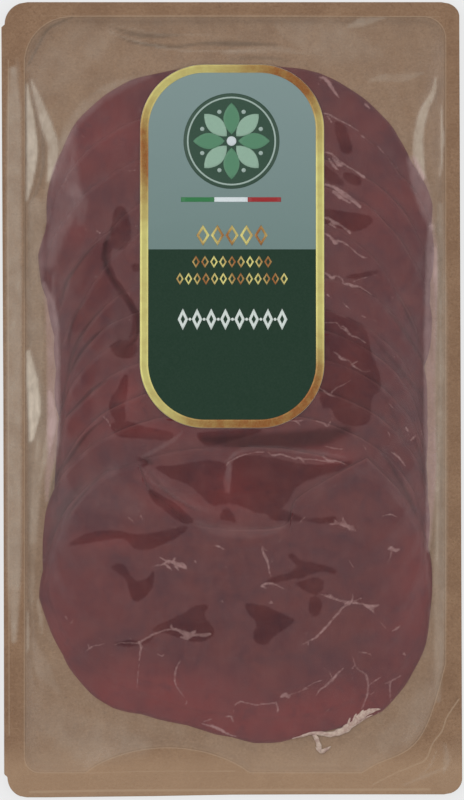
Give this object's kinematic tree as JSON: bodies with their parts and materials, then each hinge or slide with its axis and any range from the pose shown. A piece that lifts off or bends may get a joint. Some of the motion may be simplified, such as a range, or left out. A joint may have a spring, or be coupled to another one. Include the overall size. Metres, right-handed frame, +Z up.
{
  "type": "sealed pack of sliced cured beef",
  "caption": "Flat sealed pack of shingled cured beef slices: kraft paper tray, clear film over the slices, and a rounded label on the film.",
  "frame": {"origin": "centre of the bounding box's underside, on the surface that the pack lies on", "axes": "+X across the pack, +Y along it towards the end that the label is near, +Z up out of the film side"},
  "size_m": [0.14, 0.2416, 0.0073],
  "materials": {
    "kraft_paper": "brown kraft paper with a fine fibre, matt outside and glossed by the film sealed on it",
    "cured_beef": "moist dark red to violet cured beef with pale fat veins",
    "clear_film": "clear glossy barrier film, slightly hazy where it stands off the meat",
    "fat": "cream white fat, waxy",
    "label_paper": "coated label paper printed grey-green and dark green, silky",
    "gold_foil": "hot stamped gold foil border, mirror-like"
  },
  "bodies": {
    "root": {"kraft_tray": "kraft_paper", "film_and_slices": "cured_beef", "label": "label_paper"}
  },
  "joints": []
}
